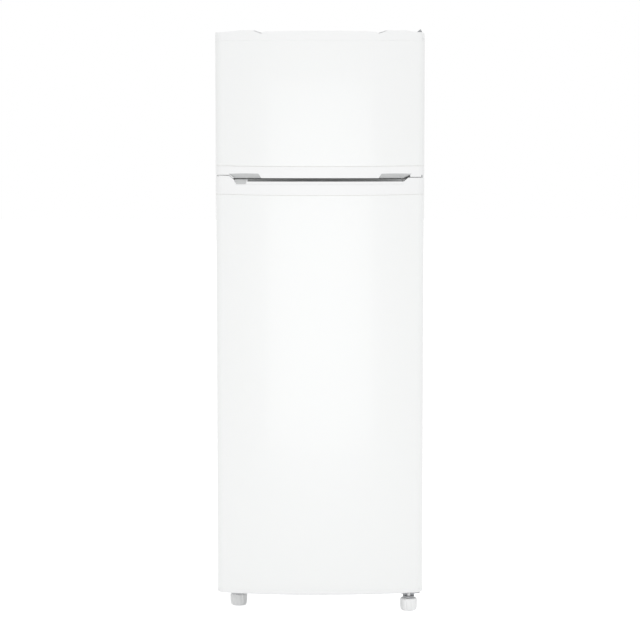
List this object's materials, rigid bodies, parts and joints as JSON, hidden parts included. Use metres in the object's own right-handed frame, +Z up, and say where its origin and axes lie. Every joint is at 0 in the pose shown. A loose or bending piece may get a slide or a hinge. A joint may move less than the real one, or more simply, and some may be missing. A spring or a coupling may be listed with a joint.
{
  "type": "top freezer refrigerator",
  "caption": "Free-standing white refrigerator: short freezer door above a tall fridge door, bowed fronts, grip recess between them, levelling feet in front, rollers and condenser behind.",
  "frame": {"origin": "on the floor, under the middle of the whole refrigerator", "axes": "+Z up, front towards -Y, door hinges on the +X side"},
  "size_m": [0.602, 0.654, 1.691],
  "materials": {
    "enamel": "gloss",
    "white_plastic": "satin",
    "liner_plastic": "satin",
    "grip_grey": "satin",
    "foam": "matte",
    "seal": "matte",
    "zinc_steel": "satin",
    "galvanised": "satin",
    "black_enamel": "satin",
    "copper": "satin",
    "black_plastic": "matte",
    "bush_rubber": "matte",
    "foot_plastic": "satin",
    "clear_plastic": "gloss",
    "shelf_glass": "gloss",
    "lamp_glass": "gloss",
    "cold_aluminium": "satin"
  },
  "bodies": {
    "cabinet": {"side_panels": "enamel", "top_panel": "enamel", "back_panel": "galvanised", "base_panel": "galvanised", "cross_rails": "enamel", "cabinet_foam": "foam", "fridge_liner": "liner_plastic", "freezer_liner": "liner_plastic", "top_hinge": "zinc_steel", "top_hinge_cover": "white_plastic", "middle_hinge": "zinc_steel", "bottom_hinge": "zinc_steel", "left_foot_bracket": "zinc_steel", "roller_brackets": "galvanised", "condenser": "black_enamel", "condenser_clips": "black_plastic", "compressor_plate": "galvanised", "compressor": "black_enamel", "compressor_bushes": "bush_rubber", "terminal_box": "black_plastic", "refrigerant_pipes": "copper", "drip_tray": "black_plastic", "drain_tube": "black_plastic", "cord_gland": "black_plastic", "cold_plate": "cold_aluminium", "freezer_evaporator": "cold_aluminium", "glass_shelves": "shelf_glass", "shelf_trims": "white_plastic", "thermostat_housing": "liner_plastic", "lamp_lens": "clear_plastic", "lamp_bulb": "lamp_glass", "lamp_switch": "white_plastic", "screws": "zinc_steel"},
    "left_foot": {"left_foot": "foot_plastic"},
    "right_foot": {"right_foot": "foot_plastic"},
    "roller_left": {"roller_left": "black_plastic"},
    "roller_right": {"roller_right": "black_plastic"},
    "thermostat_knob": {"thermostat_knob": "grip_grey"},
    "lamp_switch_plunger": {"lamp_switch_plunger": "white_plastic"},
    "crisper_drawer": {"crisper_drawer": "clear_plastic"},
    "dairy_flap": {"dairy_flap": "clear_plastic"},
    "fridge_door": {"fridge_door_skin": "enamel", "fridge_door_foam": "foam", "fridge_door_liner": "liner_plastic", "fridge_door_gasket": "seal", "fridge_door_bottom_cap": "white_plastic", "fridge_door_top_cap": "white_plastic", "grip_insert": "grip_grey", "fridge_door_bushes": "black_plastic", "door_bins": "clear_plastic", "bottle_bin": "clear_plastic", "dairy_bin": "clear_plastic"},
    "freezer_door": {"freezer_door_skin": "enamel", "freezer_door_foam": "foam", "freezer_door_liner": "liner_plastic", "freezer_door_gasket": "seal", "freezer_door_bottom_cap": "white_plastic", "freezer_door_top_cap": "white_plastic", "freezer_door_bushes": "black_plastic", "freezer_door_bins": "clear_plastic"}
  },
  "joints": [
    {"name": "fridge_door_hinge", "type": "hinge", "parent": "cabinet", "child": "fridge_door", "pos_m": [0.281, -0.27, 0.66], "axis": [0, 0, 1], "range_deg": [0, 120]},
    {"name": "freezer_door_hinge", "type": "hinge", "parent": "cabinet", "child": "freezer_door", "pos_m": [0.281, -0.27, 1.48], "axis": [0, 0, 1], "range_deg": [0, 120]},
    {"name": "dairy_flap_hinge", "type": "hinge", "parent": "fridge_door", "child": "dairy_flap", "pos_m": [0, -0.237, 1.108], "axis": [1, 0, 0], "range_deg": [0, 85]},
    {"name": "crisper_slide", "type": "slide", "parent": "cabinet", "child": "crisper_drawer", "axis": [0, -1, 0], "range_m": [0, 0.07]},
    {"name": "thermostat_turn", "type": "hinge", "parent": "cabinet", "child": "thermostat_knob", "pos_m": [-0.084, -0.1, 1.219], "axis": [0, 1, 0], "range_deg": [0, 270]},
    {"name": "lamp_switch_press", "type": "slide", "parent": "cabinet", "child": "lamp_switch_plunger", "axis": [0, 1, 0], "range_m": [0, 0.006], "stiffness_N_per_m": 150},
    {"name": "left_foot_screw", "type": "hinge", "parent": "cabinet", "child": "left_foot", "pos_m": [-0.241, -0.213, 0.02], "axis": [0, 0, 1], "continuous": true},
    {"name": "right_foot_screw", "type": "hinge", "parent": "cabinet", "child": "right_foot", "pos_m": [0.26, -0.279, 0.02], "axis": [0, 0, 1], "continuous": true},
    {"name": "roller_left_axle", "type": "hinge", "parent": "cabinet", "child": "roller_left", "pos_m": [-0.262, 0.238, 0.02], "axis": [1, 0, 0], "continuous": true},
    {"name": "roller_right_axle", "type": "hinge", "parent": "cabinet", "child": "roller_right", "pos_m": [0.262, 0.238, 0.02], "axis": [1, 0, 0], "continuous": true}
  ]
}
